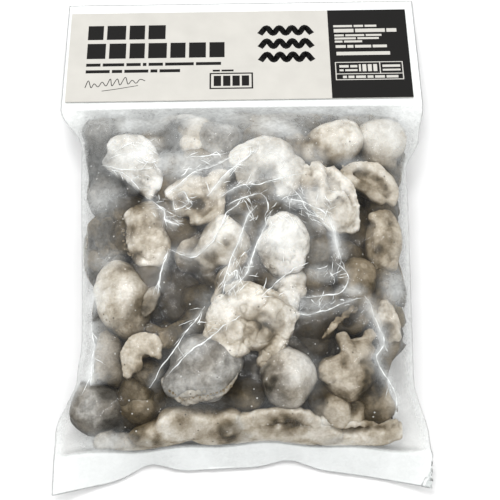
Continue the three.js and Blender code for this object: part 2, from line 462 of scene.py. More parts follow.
def octopus(
    group, x, y, length, width, heading, tone, seed, sink=0, z=None, arms=7, reach=27, cool=0.3, rough=1.0
):
    """One octopus in millimetres: its body under the film, and arms that curl from its heading."""
    rng = np.random.default_rng(seed)
    depth = 0.82 * min(width, length)
    place = under_film(x, y, depth / 2 + sink)
    if z is not None:
        place.z = z * MM
    shape = bmesh.new()
    add_sac(shape, place, length * MM, width * MM, depth * MM, heading)
    ahead = Matrix.Rotation(math.radians(heading), 3, "Z") @ Vector((1, 0, 0))
    head = place + ahead * 0.36 * length * MM - Vector((0, 0, 0.08 * depth * MM))
    head_size = Vector((0.5 * length, 0.66 * width, 0.62 * depth)) * MM
    add_sac(shape, head, *head_size, heading, 0)
    crown = place + ahead * 0.40 * length * MM - Vector((0, 0, 0.16 * depth * MM))
    for arm in range(arms):
        side = (arm + 0.5) / arms * 2 - 1
        angle = heading + 110 * side + rng.uniform(-12, 12)
        bend = rng.uniform(230, 330) * (1 if side > 0 else -1)
        out = Matrix.Rotation(math.radians(angle), 3, "Z") @ Vector((1, 0, 0))
        start = crown + out * 2.0 * MM - Vector((0, 0, rng.uniform(0, 0.35) * depth * MM))
        arm_length = reach * MM * rng.uniform(0.8, 1.15)
        route = curled_route(start, angle, arm_length, bend, rng.uniform(-0.35, 0.25))
        add_arm(shape, route, rng.uniform(4.2, 5.4) * MM, rng.uniform(1.8, 2.6) * MM)
    hidden = z is not None or group == "between"
    finish_octopus(shape, group, tone, (1.25 if hidden else 0.85) * MM, 0.15, cool, rough)


def posed_octopus(group, tone, bodies=(), arms=(), folds=0.3, cool=0.2, fine=0.8, rough=1.0):
    """An octopus whose arms show: bodies and arm routes in millimetres, just under the film."""
    shape = bmesh.new()
    for x, y, length, width, heading, sink in bodies:
        depth = 0.8 * min(length, width)
        place = under_film(x, y, depth / 2 + sink)
        add_sac(shape, place, length * MM, width * MM, depth * MM, heading, 0.1)
    for route, base, tip, sink in arms:
        places = [under_film(x, y, base + sink) for x, y in route]
        add_arm(shape, places, base * MM, tip * MM)
    finish_octopus(shape, group, tone, fine * MM, folds, cool, rough)


# Bodies that face the film, from the header down
octopus("round_a", -69, 45, 27, 20, -60, 0.38, 1, sink=2, cool=0.9)
octopus("round_a", -13, 40, 30, 23, 170, 0.68, 3, sink=0.5, cool=0.9)
octopus("round_a", 45, 38, 30, 24, 200, 1.0, 5, cool=0.1, rough=0.6)
octopus("round_a", 68, 41, 27, 26, -100, 0.86, 6, rough=0.6)
octopus("round_b", -10, -14, 27, 23, -140, 0.97, 11, rough=0.8)
octopus("round_c", -57, -39, 34, 30, -70, 0.86, 12, cool=0.2, rough=0.8)
octopus("dark", -30, -38, 30, 27, 100, 0.14, 13, sink=6, cool=0)
octopus("round_c", 19.5, -79, 27, 26, 120, 0.82, 15, cool=0.6, rough=0.7)
octopus("dark", 53, -33, 23, 18, -80, 0.44, 17, sink=1, cool=0)
octopus("round_c", 20, -43.5, 17, 14, 80, 0.92, 18, sink=0.3, arms=3, reach=12, cool=0.5)
octopus("dark", -70, -89, 30, 27, -10, 0.52, 19, cool=0.8)
octopus("dark", -49, -88, 22, 18, 20, 0.64, 20, sink=4, cool=0)
octopus("dark", 42, -92, 19, 15, 90, 0.76, 22, sink=0.8, cool=0, rough=0.6)
octopus("dark", 62, -88, 25, 19, 60, 0.56, 23, sink=1, cool=0)
octopus("dark", 32, -62, 20, 18, 0, 0.12, 27, sink=8, cool=0)
octopus("dark", 52, -3, 28, 20, -90, 0.14, 24, sink=8, cool=0)
octopus("dark", -66, 17, 26, 22, 90, 0.50, 25, sink=4, cool=0.9)
octopus("dark", -52, -83, 20, 17, 90, 0.40, 26, sink=3, cool=0)

# Bodies that the film has pressed out of round
posed_octopus("pressed", 0.82, bodies=[(-21, 44, 13, 20, 70, 0.2), (-24, 37, 12, 10, 0, 1)], folds=0.3)
posed_octopus(
    "pressed", 0.40, folds=0.9, cool=0.1,
    bodies=[(-66, -7, 22, 15, -80, 1.8), (-64, -14, 14, 13, 0, 2.2), (-70, -3, 13, 11, 0, 2.4)],
)
posed_octopus(
    "pressed", 0.84, folds=0.4, cool=0.2,
    bodies=[(-46, -2, 21, 19, -50, 0.4), (-42, -14, 23, 17, -75, 0), (-49, -9, 18, 14, -80, 0.8)],
    arms=[([(-52, 1), (-54, -7), (-53, -15), (-49, -22), (-44, -24)], 2.8, 2.0, 1.2)],
)
posed_octopus(
    "pressed", 0.96, folds=0.25, cool=0.8,
    bodies=[(-53, 31, 30, 23, -25, 0), (-46, 22, 22, 15, -62, 0.3), (-60, 29, 16, 12, 0, 0.6)],
    arms=[([(-66, 29), (-58.5, 24), (-50.5, 17.5), (-45, 11)], 3.0, 2.4, 0.4)],
)
posed_octopus(
    "pressed", 0.96, folds=0.3, cool=0.5,
    bodies=[(9, 28, 32, 20, 10, 0), (21, 20, 24, 19, -35, 0.3), (3, 20, 18, 13, 50, 0.8)],
    arms=[([(25, 25), (26.5, 19), (24, 13), (18, 11)], 3.4, 2.8, 1.4)],
)
posed_octopus(
    "pressed", 0.94, folds=0.6, cool=0.6,
    bodies=[(19, -13, 24, 18, 75, 0), (24.5, -16, 16, 16, -60, 0), (16, -22, 18, 16, 60, 0.2)],
    arms=[
        ([(11, -12), (9, -18), (11, -26), (17, -30)], 3.2, 2.6, 0.8),
        ([(13, -6), (18, -4), (24, -6), (28.5, -11), (29, -18)], 3.2, 2.6, 0.3),
        ([(26, -22), (23, -27), (17, -29)], 4.2, 3.4, 0.2),
    ],
)

# Arms folded over each other into a bunch, with the web between them
posed_octopus(
    "folded", 0.98, folds=0.25, fine=0.65,
    bodies=[(40, 6, 30, 22, -65, 3.2), (46, 0, 20, 18, -60, 0.2), (33, 13, 13, 14, 90, 2.6)],
    arms=[
        ([(29.5, 21.5), (30, 15), (31.5, 8), (34, 1)], 3.6, 3.0, -0.3),
        ([(36, 23), (37, 15), (38, 8), (37, 3)], 4.4, 3.6, -0.2),
        ([(43, 21), (48, 15), (52, 8), (53, 1), (53, -6)], 4.2, 3.2, 0),
        ([(36, -3), (43, -8), (51, -8)], 3.2, 3.0, 0.2),
        ([(41, 4), (45, 7.5), (50, 4), (50.5, -2), (46.5, -4.5), (44, -1)], 2.2, 1.8, -0.9),
    ],
)
# An arm curled into a crescent, with a slit under it
posed_octopus(
    "curled", 0.80, folds=0.1, cool=0.1, rough=0.6,
    bodies=[(60.5, 17, 26, 14, -30, 3.1)],
    arms=[
        ([(48, 20), (54, 24.4), (61.5, 24.2), (68.5, 20.2), (72.6, 14), (71.8, 8)], 3.7, 3.0, 0),
        ([(49, 17), (55, 14.5), (60.5, 11.8), (66, 8)], 4.2, 3.4, 0.1),
    ],
)
# A curl at the side, with a ridge inside its rim
posed_octopus(
    "curled", 0.66, folds=0.2, cool=0,
    bodies=[(67, -12, 31, 20, 98, 1.2)],
    arms=[
        ([(62, -1), (69, 0), (74, -7), (75, -16), (71, -24)], 3.8, 3.4, 0),
        ([(65, -2), (66, -9), (65, -17), (67, -23)], 4.2, 3.4, -0.2),
    ],
)
# A body with a rolled edge, which leaves a small hollow beside it
posed_octopus(
    "folded", 0.90, folds=0.3, rough=0.8,
    bodies=[
        (-25, 12, 22, 17, 15, 0.5), (-12, 15, 18, 14, 60, 0.2), (-28, 5, 12, 11, 0, 0.8),
        (-19, 4, 18, 15, 0, 0.9),
    ],
    arms=[([(-12, 12), (-11, 6), (-12, 0), (-17, -3), (-24, -3)], 3.6, 3.0, 0.4)],
)
# The large ragged one that lies highest
posed_octopus(
    "splayed", 0.92, folds=0.6, cool=0.1, fine=0.65,
    bodies=[
        (-7, -54, 28, 25, 70, 0), (2, -45, 22, 20, 20, 0), (13, -50, 22, 18, -40, 0),
        (-5, -65, 14, 12, 0, 0.5), (5, -59, 18, 16, 0, 2.5),
    ],
    arms=[
        ([(19, -45), (18, -54), (14, -64), (9, -72)], 6.0, 4.6, 0),
        ([(-11, -44), (-14, -53), (-12, -61)], 4.6, 4.2, 0),
        ([(4, -40), (-2, -37), (-8, -38)], 3.6, 2.6, 0),
        ([(12, -42), (19, -44), (23, -50)], 4.2, 3.6, 0),
    ],
)
# A slim arm that lies across the middle
posed_octopus(
    "splayed", 0.76,
    bodies=[(-10, -33, 13, 9, 60, 1)],
    arms=[([(-1, -22), (-6, -28), (-11, -36), (-14, -43)], 3.8, 3.2, 0)],
)
# A folded lobe with two ridges and a knob
posed_octopus(
    "curled", 0.78, folds=0.1, cool=0.1, rough=0.6, fine=0.65,
    bodies=[
        (-53, -68, 15, 9, 90, 0.4), (-49.5, -72, 9, 8, 60, -0.2), (-47, -63, 17, 12, 0, 0.6),
        (-46, -73, 16, 14, 0, 6),
    ],
    arms=[
        ([(-54, -75), (-55, -67), (-52, -60.5), (-46, -58.5), (-41, -61), (-39.5, -68)], 3.6, 3.0, 0),
        ([(-52, -69), (-49, -65.5), (-45, -65), (-42.5, -67.5)], 2.9, 2.4, -0.2),
    ],
)
# A large grey body with a thin ragged skirt along its lower edge
posed_octopus(
    "folded", 0.62, folds=0.1, cool=0.9,
    bodies=[(-18, -73, 34, 30, 150, 0.8), (-27, -79, 22, 18, 30, 2.5)],
)
posed_octopus(
    "folded", 0.70, folds=0.5, cool=0.4, fine=0.55,
    arms=[
        ([(-37, -79), (-35.5, -83), (-31, -87), (-26, -89), (-20, -88.5), (-13, -87)], 2.2, 2.0, 1.3),
        ([(-13, -87), (-8, -84), (-4.5, -79.5), (-3, -74)], 2.1, 1.6, 1.9),
        ([(-33, -83.5), (-28, -86), (-21, -85.5), (-12, -84)], 2.0, 1.8, 1.4),
    ],
)
# Two short arms raised in a fork, over their broad body
posed_octopus(
    "splayed", 0.67, folds=0.3, cool=0.1, rough=0.8,
    bodies=[
        (48, -79, 24, 22, 50, 1), (40, -76, 14, 13, 0, 0.8), (52, -67, 17, 13, 0, 0.8),
        (57, -85, 14, 14, 0, 4),
    ],
    arms=[
        ([(45, -61), (47, -67), (49, -73)], 3.4, 3.6, 0),
        ([(58, -59), (54, -65), (49, -73)], 3.4, 3.6, 0),
        ([(36, -76), (41, -72), (46, -69)], 3.0, 3.2, 0.4),
    ],
)
posed_octopus(
    "curled", 0.74, folds=0.8, cool=0,
    arms=[([(36, -61), (41, -55), (50, -47)], 1.3, 2.6, 0.3)],
)
# At the sides
posed_octopus(
    "curled", 0.80, folds=0.5,
    bodies=[(67, -53, 20, 13, 100, 1)],
    arms=[([(66, -44), (70, -51), (71, -59)], 4.2, 3.4, 0)],
)
posed_octopus(
    "curled", 0.58, folds=0.1, cool=0.2, rough=0.6,
    bodies=[(-64, -66, 24, 15, 85, 1.5), (-60, -74, 14, 11, 80, 3.5)],
    arms=[([(-65, -57), (-66, -66), (-65, -75)], 4.4, 4.0, 0.6)],
)
posed_octopus("curled", 0.84, bodies=[(-44, -43, 15, 8.5, 72, 0)], cool=0.5)
# Arms at the back of the pile
posed_octopus(
    "folded", 0.44, cool=0,
    bodies=[(-33, -59, 16, 12, 40, 3)],
    arms=[
        ([(-40, -66), (-38, -58), (-32, -53), (-25, -51)], 2.6, 2.0, 1.5),
        ([(-44, -54), (-38, -56)], 3, 3, 3),
    ],
)
# Along the lower weld, pushed down into the bag's corner
posed_octopus(
    "foot", 0.91, folds=0.15, cool=0, rough=0.5,
    bodies=[
        (15, -99.5, 46, 18, 2, 1.9), (-1, -101, 20, 15, 30, 0.3), (35, -101, 22, 15, -30, 0.3),
        (15, -105, 42, 11, 0, 0),
    ],
    arms=[([(-9, -98.5), (3, -96), (13, -95), (24, -95), (36, -99)], 4.0, 4.0, 0)],
)
posed_octopus(
    "foot", 0.88, folds=0.15, cool=0, rough=0.5,
    bodies=[(46, -104, 30, 14, -4, 0.3), (58, -103, 26, 13, 0, 0.6), (69, -101, 16, 10, 20, 1.4)],
    arms=[([(36, -97), (46, -98.5), (58, -98.5), (69, -97.5)], 3.0, 2.4, 0.4)],
)
posed_octopus(
    "foot", 0.89, folds=0.15, cool=0, rough=0.5,
    bodies=[
        (-26, -96.5, 34, 17, 8, 0.7), (-12, -101, 32, 17, -4, 0.3), (-39, -101, 32, 15, 8, 0.5),
        (-9, -97, 18, 14, 0, 0.8),
    ],
)
posed_octopus(
    "foot", 0.86, folds=0.4, cool=0.4,
    bodies=[(-56, -105, 24, 11, -4, 0.5), (-66, -103, 14, 12, 60, 1.0), (-47, -104, 28, 12, 0, 0.3)],
)

# Octopuses that lie a little deeper, wherever the upper ones leave room
DEEP_ROOM = 7.5 * MM
LOOK_ROUND = 5
between = np.random.default_rng(11)
for y in range(-84, 50, 11):
    for x in range(-66, 70, 11):
        row = round((y * MM - grid_y[0]) / GRID_STEP)
        column = round((x * MM - grid_x[0]) / GRID_STEP)
        near = np.s_[row - LOOK_ROUND : row + LOOK_ROUND, column - LOOK_ROUND : column + LOOK_ROUND]
        room = top_grid[near] - np.maximum(flesh_top[near], 0)
        if np.mean(room) < DEEP_ROOM:
            continue
        size = between.uniform(20, 25)
        heading = between.uniform(0, 360)
        tone = between.uniform(0.20, 0.42)
        seed = 100 * abs(y) + x + 200
        if any(math.hypot(x - gap_x, y - gap_y) < GAP_REACH for gap_x, gap_y in SHADED_GAPS):
            continue
        octopus("between", x, y, size, size * 0.85, heading, tone, seed, sink=4, arms=6, cool=0)

# The lower layer, which lies on the back film
lower = np.random.default_rng(5)
for row, y in enumerate((-86, -60, -33, -6, 21, 42)):
    for x in (-58, -29, 0, 29, 58) if row % 2 == 0 else (-44, -15, 15, 44):
        size = lower.uniform(24, 29)
        octopus(
            "lower",
            x + lower.uniform(-3, 3),
            y + lower.uniform(-3, 3),
            size,
            size * 0.85,
            lower.uniform(0, 360),
            lower.uniform(0.22, 0.48),
            int(200 + row * 10 + x / 10),
            z=11.5,
            reach=26,
        )

# Rows of suckers, where an arm's edge is turned up: routes in millimetres
SUCKER_ROWS = [
    [(31, 35), (35, 28), (42, 24), (49, 23)],
    [(-57, -6), (-56, -14), (-51, -22)],
    [(-34, -85), (-28, -89), (-21, -88), (-13, -87), (-6, -83)],
    [(-64, -50), (-60, -54), (-54, -56)],
    [(62, -24), (66, -28), (72, -28)],
]
SUCKER_RADIUS = 0.62 * MM
SUCKER_PITCH = 1.5 * MM

flesh_seen = filled_outwards(np.where(flesh_top > 0, flesh_top, np.nan))
sucker_shape = bmesh.new()
pale_layer = sucker_shape.verts.layers.float.new("pale")
for route in SUCKER_ROWS:
    walked = SUCKER_PITCH
    places = [Vector((x * MM, y * MM, 0)) for x, y in route]
    line = list(smooth_route(places, 30))
    for before, after in zip(line, line[1:]):
        walked += (after - before).length
        if walked < SUCKER_PITCH:
            continue
        walked = 0.0
        height = read_grid(flesh_seen, np.array([after.x]), np.array([after.y]))[0]
        radius = SUCKER_RADIUS * (1 + 0.9 * noise.noise(after * 900))
        aside = noise.noise_vector(after * 700) * 1.1 * MM
        stand = Matrix.Translation((after.x + aside.x, after.y + aside.y, height - 0.45 * radius))
        cup = bmesh.ops.create_icosphere(sucker_shape, subdivisions=2, radius=radius)["verts"]
        for vert in cup:
            inward = 1 - math.hypot(vert.co.x, vert.co.y) / (0.6 * radius)
            if inward > 0 and vert.co.z > 0:
                vert.co.z *= 1 - 0.8 * inward
            # Painted shade: the cup's hollow is darker than its rim
            vert[pale_layer] = 0.38 if inward > 0.1 else 0.60
        bmesh.ops.transform(sucker_shape, matrix=stand, verts=cup)
octopus_groups["suckers"] = [finished_mesh("suckers", sucker_shape)]

# The skin's colour from dark to pale, where it is brown and where it is frosted grey
WARM_STOPS = [
    (0.0, (0.026, 0.018, 0.007, 1)),
    (0.22, (0.075, 0.055, 0.027, 1)),
    (0.48, (0.215, 0.172, 0.112, 1)),
    (0.74, (0.465, 0.410, 0.325, 1)),
    (1.0, (0.780, 0.745, 0.675, 1)),
]
COOL_STOPS = [
    (0.0, (0.016, 0.015, 0.012, 1)),
    (0.22, (0.062, 0.058, 0.050, 1)),
    (0.48, (0.190, 0.182, 0.166, 1)),
    (0.74, (0.440, 0.430, 0.405, 1)),
    (1.0, (0.760, 0.750, 0.725, 1)),
]
BLOTCHES = 0.55  # how much the paleness varies in blotches
SPECKLES = 0.22  # and in fine speckles
PALE_SPOTS = (210, 0.085, (0.72, 0.71, 0.68, 1))  # how many a metre, how wide, and their colour
DARK_SPOTS = (170, 0.075, (0.05, 0.042, 0.03, 1))
SPOT_STRENGTH = 0.7


def shader_node(tree, kind, inputs=None, **settings):
    """A new shader node with its settings and its inputs."""
    node = tree.nodes.new("ShaderNode" + kind)
    for name, value in settings.items():
        setattr(node, name, value)
    set_inputs(tree, node, inputs or {})
    return node


def reckoned(tree, operation, *values, clamp=False):
    """The result of an operation on values, each of them a number or another node's output."""
    node = shader_node(tree, "Math", dict(enumerate(values)), operation=operation, use_clamp=clamp)
    return node.outputs[0]


def tinted(tree, value, stops):
    """The colour that a value picks out between a ramp's stops."""
    node = shader_node(tree, "ValToRGB", {"Fac": value})
    elements = node.color_ramp.elements
    for position, colour in stops[1:-1]:
        elements.new(position)
    for element, (position, colour) in zip(elements, stops):
        element.position = position
        element.color = colour
    return node.outputs["Color"]


def mixed(tree, share, first, second):
    """A colour between two others, by the second one's share."""
    node = shader_node(tree, "Mix", {"Factor": share, "A": first, "B": second}, data_type="RGBA")
    return node.outputs["Result"]


def noise_at(tree, place, scale, detail=2, roughness=0.5, distortion=0.0):
    """How strong a noise is at a place, with so many waves a metre."""
    inputs = {"Vector": place, "Scale": scale, "Detail": detail, "Roughness": roughness}
    node = shader_node(tree, "TexNoise", inputs | {"Distortion": distortion})
    return node.outputs["Fac"]


def bumped(tree, height, strength, distance):
    """The direction of a surface that a height has made uneven."""
    inputs = {"Height": height, "Strength": strength, "Distance": distance}
    return shader_node(tree, "Bump", inputs).outputs["Normal"]


def flesh_finish():
    """Wet frozen skin: pale, brown or grey as its points say, with the painted shade they carry,
    blotched, spotted and finely folded.
    """
    finish, tree, flesh = new_finish("octopus_flesh")
    place = shader_node(tree, "TexCoord").outputs["Object"]
    pale = shader_node(tree, "Attribute", attribute_name="pale").outputs["Fac"]
    cool = shader_node(tree, "Attribute", attribute_name="cool").outputs["Fac"]
    blotches = noise_at(tree, place, 210, 5, 0.62, 0.6)
    blotched = reckoned(tree, "MULTIPLY_ADD", blotches, BLOTCHES, -BLOTCHES / 2)
    speckled = reckoned(tree, "MULTIPLY_ADD", noise_at(tree, place, 900), SPECKLES, -SPECKLES / 2)
    paleness = reckoned(tree, "ADD", speckled, reckoned(tree, "ADD", blotched, pale))
    skin = mixed(tree, cool, tinted(tree, paleness, WARM_STOPS), tinted(tree, paleness, COOL_STOPS))
    for scale, reach, tint in (PALE_SPOTS, DARK_SPOTS):
        spots = shader_node(tree, "TexVoronoi", {"Vector": place, "Scale": scale})
        in_spot = reckoned(tree, "LESS_THAN", spots.outputs["Distance"], reach)
        skin = mixed(tree, reckoned(tree, "MULTIPLY", in_spot, SPOT_STRENGTH), skin, tint)
    folds = noise_at(tree, place, 480, 4, distortion=1.2)
    set_inputs(
        tree,
        flesh,
        {
            "Base Color": skin,
            "Roughness": 0.42,
            "Specular IOR Level": 0.22,
            "Subsurface Weight": 0.3,
            "Subsurface Radius": (1.0, 0.8, 0.6),
            "Subsurface Scale": 0.003,
            "Normal": bumped(tree, folds, 0.5, 0.0007),
        },
    )
    return finish


octopus_finish = flesh_finish()
for group, skins in octopus_groups.items():
    together = bmesh.new()
    for skin in skins:
        together.from_mesh(skin)
        bpy.data.meshes.remove(skin)
    mesh = finished_mesh("octopus_" + group, together)
    mesh.shade_smooth()
    mesh.materials.append(octopus_finish)
    piece = added_object("octopus_" + group, mesh)
    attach(piece, "root")
    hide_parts("film_bag")

# The film
# A flat tube of clear film, welded along both ends. It is thin and a little slack, so it spans from
# one octopus to the next, creases in between, and is milky where it is frosted or lies double. In
# places it is also whitened by painted glare and by painted highlights along its creases.

FILM_LIFT = 0.35 * MM  # between the flesh and the film that lies on it
SHEET_GAP = 0.12 * MM  # half of what is left between the two films where they are welded
RIM_WIDTH = 2.0 * MM  # the two films close to each other over this far from the outline
FILM_CELLS = (180, 256)
WELD_ROW = -110 * MM  # the row of the film's points that is bent to follow the lower weld
STRAIGHT_ROW = -70 * MM  # from here up the rows run straight across
HEADER_FOOT = bag_high.y - HEADER_LENGTH
FRONT_ROUNDS = 260  # how often the front film is drawn tighter, from the bag's outside inwards
BACK_ROUNDS = 200
EVEN_ROUNDS = 6
FIT_ROUNDS = 4  # how often x and y of the film's points are fitted to each other
MIDDLE_ROUNDS = 60
RIM_ROUNDS = 16
TABLE_GAP = 0.02 * MM
SOFT_SHARE = 0.72  # how much of the gloss is soft
EDGE_SHINE = 0.45  # how much the film shines where it turns away
FACING_SHINE = 0.020  # and where it faces the eye
FROST_GRAIN = 2.2  # how much the milky places vary in a fine grain


def film_places():
    """x and y of the film's points, in rows from the lower seal's free edge up to the header's."""
    across = np.linspace(0, 1, FILM_CELLS[0] + 1)
    along = np.linspace(0, 1, FILM_CELLS[1] + 1)
    across, along = np.meshgrid(across, along)
    straight = bag_low.y + along * (bag_high.y - bag_low.y)
    in_seal = (straight - bag_low.y) / (WELD_ROW - bag_low.y)
    above_weld = (straight - WELD_ROW) / (STRAIGHT_ROW - WELD_ROW)
    y = straight
    for _ in range(FIT_ROUNDS):
        left = np.interp(y, outline_y, left_side)
        right = np.interp(y, outline_y, right_side)
        corner = np.clip((outline_y[0] - y) / (outline_y[0] - bag_low.y), 0, 1)
        left = left + (bag_low.x - left) * corner
        right = right + (bag_high.x - right) * corner
        x = left + (right - left) * across
        free = np.interp(x, foot_x, free_edge)
        weld = weld_line(x)
        y = np.where(straight < STRAIGHT_ROW, weld + (STRAIGHT_ROW - weld) * above_weld, straight)
        y = np.where(straight < WELD_ROW, free + (weld - free) * in_seal, y)
    return x, y


def in_weld(x, y):
    """1 in the lower seal and in the header, 0 in the filled bag, and a short ramp between."""
    half = 0.6 * MM
    below = smooth_step(weld_line(x) - y, -half, half)
    above = smooth_step(y - HEADER_FOOT, -half, half)
    return np.maximum(below, above)


def neighbour_mean(heights):
    """The mean of each inner point's four neighbours, with the rim as it is."""
    mean = heights.copy()
    mean[1:-1, 1:-1] = (
        heights[:-2, 1:-1] + heights[2:, 1:-1] + heights[1:-1, :-2] + heights[1:-1, 2:]
    ) / 4
    return mean


def along_route(x, y, route):
    """How far each point lies from a route given in millimetres, and where along it, from 0 to 1."""
    stops = np.array(route, float) * MM
    lengths = np.hypot(*(stops[1:] - stops[:-1]).T)
    before = np.concatenate([[0], np.cumsum(lengths)]) / lengths.sum()
    nearest = np.full(x.shape, 1.0)
    place = np.zeros(x.shape)
    for i, (start, end) in enumerate(zip(stops[:-1], stops[1:])):
        way = end - start
        t = ((x - start[0]) * way[0] + (y - start[1]) * way[1]) / (way @ way)
        t = np.clip(t, 0, 1)
        distance = np.hypot(x - start[0] - t * way[0], y - start[1] - t * way[1])
        closer = distance < nearest
        nearest = np.where(closer, distance, nearest)
        place = np.where(closer, before[i] + t * (before[i + 1] - before[i]), place)
    return nearest, place


# Creases where the slack film is folded, in millimetres: a route, its height, its half width and how
# white the film beside it is, partly the whitening of strained film and partly a painted highlight
CREASES = [
    ([(-64, 29), (-53, 30), (-45, 26), (-38, 28)], 0.6, 1.2, 0.30),
    ([(-68, 27), (-59, 23), (-48, 22)], 0.6, 1.2, 0.30),
    ([(-65, 23), (-57, 20), (-48, 12)], 0.6, 1.2, 0.25),
    ([(-61, 32), (-52, 36), (-44, 33)], 0.4, 1.0, 0.20),
    ([(-37, 9), (-29, 14), (-22, 20), (-13, 23), (2, 30)], 1.0, 1.3, 0.35),
    ([(-28, 27), (-13, 28), (6, 31)], 0.8, 1.2, 0.20),
    ([(-17, 7), (-6, 19), (6, 29)], 1.2, 1.4, 0.40),
    ([(-12, 6), (-1, 12), (7, 13), (18, 15), (29, 18)], 1.2, 1.6, 0.30),
    ([(-8, 2), (0, 6), (8, 8), (12, 2), (10, -4)], 0.6, 1.0, 0.20),
    ([(6, 3), (2, -4), (-2, -16), (-5, -23), (-10, -39)], 1.2, 1.4, 0.35),
    ([(14, -1), (9, -12), (5, -21), (1, -33), (-6, -40)], 1.0, 1.4, 0.35),
    ([(18, 5), (27, 3), (36, -1), (42, -9), (45, -25)], 1.6, 1.8, 0.55),
    ([(24, 10), (27, 4), (30, -1), (36, -5)], 0.6, 1.0, 0.40),
    ([(-35, -18), (-28, -21), (-22, -22), (-15, -17), (-10, -8), (-7, -2), (-1, 4)], 1.4, 1.6, 0.30),
    ([(-35, -18), (-37, -26), (-39, -32), (-40, -39)], 1.4, 1.6, 0.30),
    ([(-18, -47), (-25, -57), (-36, -72), (-44, -83)], 1.3, 1.5, 0.22),
    ([(-2, -53), (-10, -58), (-20, -66), (-29, -73), (-36, -79)], 1.2, 1.5, 0.22),
    ([(22, -51), (29, -51), (39, -48), (45, -45), (53, -43)], 1.2, 1.3, 0.30),
    ([(-46, 9), (-41, 4), (-37, 0), (-36, -4), (-30, -7)], 1.0, 1.4, 0.30),
    (
        [(56, -41), (62, -56), (64, -64), (60, -70), (62, -76), (66, -81), (69, -87), (69, -97)],
        1.4, 2.4, 0.40,
    ),
    ([(-71, -50), (-70, -62), (-71, -70), (-71, -80)], 1.2, 2.8, 0.80),
    ([(-33, 7), (-28, 9), (-26, 4), (-32, 1), (-33, 7)], 0.8, 1.0, 0.30),
    ([(40, -24), (47, -30), (48, -36), (42, -41), (26, -43)], 1.2, 1.3, 0.18),
    ([(7, -45), (14, -38), (21, -31), (27, -28)], 0.9, 1.3, 0.25),
    ([(-12, -40), (-8, -34), (-3, -31), (-4, -38), (-11, -44)], 0.6, 1.2, 0.40),
]


def highest_around(heights):
    """Each height raised to the highest of its neighbours."""
    padded = np.pad(heights, 1, mode="edge")
    rows, columns = heights.shape
    return np.max([padded[i : i + rows, j : j + columns] for i in range(3) for j in range(3)], axis=0)


flesh_above = highest_around(flesh_top)
flesh_below = -highest_around(-flesh_foot)
flesh_under_film = neighbour_mean(neighbour_mean(flesh_above))
flesh_over_film = neighbour_mean(neighbour_mean(flesh_below))
middle_grid = (top_grid + bottom_grid) / 2
for _ in range(MIDDLE_ROUNDS):
    middle_grid = neighbour_mean(middle_grid)

film_x, film_y = film_places()
welded = in_weld(film_x, film_y)
middle = (read_grid(top_grid, film_x, film_y) + read_grid(bottom_grid, film_x, film_y)) / 2
middle = middle + (read_grid(middle_grid, film_x, film_y) - middle) * (1 - welded)
from_sides = np.minimum(film_x - film_x[:, :1], film_x[:, -1:] - film_x)
from_ends = np.minimum(film_y - film_y[:1], film_y[-1:] - film_y)
rim = np.minimum(from_sides, from_ends)
held = (welded > 0.5) | (rim < 0.5 * MM)
rim_milk = 0.5 * (1 - smooth_step(rim, 0.2 * MM, 3.0 * MM))
rim_milk = np.maximum(rim_milk, 0.34 * (1 - smooth_step(from_sides, 1 * MM, 7 * MM)))


def drawn_tight(outside, limit, side, rounds):
    """The film's heights once it is drawn from the bag's outside down to a limit on its inner side."""
    z = outside.copy()
    for _ in range(rounds):
        z = np.where(held, outside, side * np.maximum(side * neighbour_mean(z), side * limit))
    return z


def closed_at_rim(z, side, flesh):
    """The film's heights, brought to the middle along its edges but kept outside the flesh."""
    z = middle + (z - middle) * smooth_step(rim, 0, RIM_WIDTH)
    loose = (rim < 2.5 * RIM_WIDTH) & (welded < 0.5)
    for _ in range(RIM_ROUNDS):
        z = np.where(loose, neighbour_mean(z), z)
    beside = (rim > 0.7 * MM) & (rim < 8 * RIM_WIDTH) & (welded < 0.5)
    return np.where(beside, side * np.maximum(side * z, side * flesh + FILM_LIFT), z)


# Where the film is whiter, in millimetres: x, y, two radii and how white. Some of it is frost; much
# is painted glare on the bodies' tops, where the film lies close on them and would reflect the lamps
FROST_AND_GLARE = [
    (-54, 31, 12, 10, 0.34), (-43, 35, 6, 5, 0.30), (-27, 24, 10, 9, 0.44), (31, 5, 9, 7, 0.46),
    (37, -31, 8, 4, 0.30), (36, -21, 7, 8, 0.12), (-30, 38, 10, 8, 0.20), (-12, 24, 11, 8, 0.28),
    (14, 24, 15, 13, 0.40), (18, 42, 14, 8, 0.40), (-4, 44, 13, 7, 0.16), (-23, 46, 8, 6, 0.20),
    (33, 27, 7, 6, 0.24), (2, 33, 12, 8, 0.22), (20, 9, 9, 6, 0.30), (20, -14, 11, 10, 0.40),
    (32, 4, 7, 9, 0.36), (-9, -46, 10, 8, 0.24), (15, -50, 9, 9, 0.12), (50, -39, 6, 3, 0.30),
    (-8, -10, 9, 7, 0.20), (48, 38, 9, 8, 0.16), (68, 40, 10, 10, 0.26), (22, -44, 6, 5, 0.16),
    (-24, 14, 8, 7, 0.14), (-25, -66, 7, 4, 0.16), (27, -80, 7, 9, 0.12), (-66, 10, 9, 8, 0.16),
    (-64, -22, 8, 5, 0.14), (38, 8, 11, 11, 0.22), (44, 2, 7, 7, 0.14), (-50, 46, 12, 6, 0.36),
    (52, 24, 7, 4, 0.22), (-36, 26, 7, 7, 0.34), (-66, -105, 14, 4, 0.40), (-23, -92, 16, 4, 0.08),
    (6, -92, 16, 4, 0.08), (33, -95, 11, 5, 0.08), (70, -36, 6, 8, 0.30), (33, -1, 5, 6, 0.40),
    (35, -5, 6, 6, 0.38), (33, -46, 15, 4, 0.25), (-7, -38, 4, 6, 0.45), (-71, -41, 5, 7, 0.35),
]


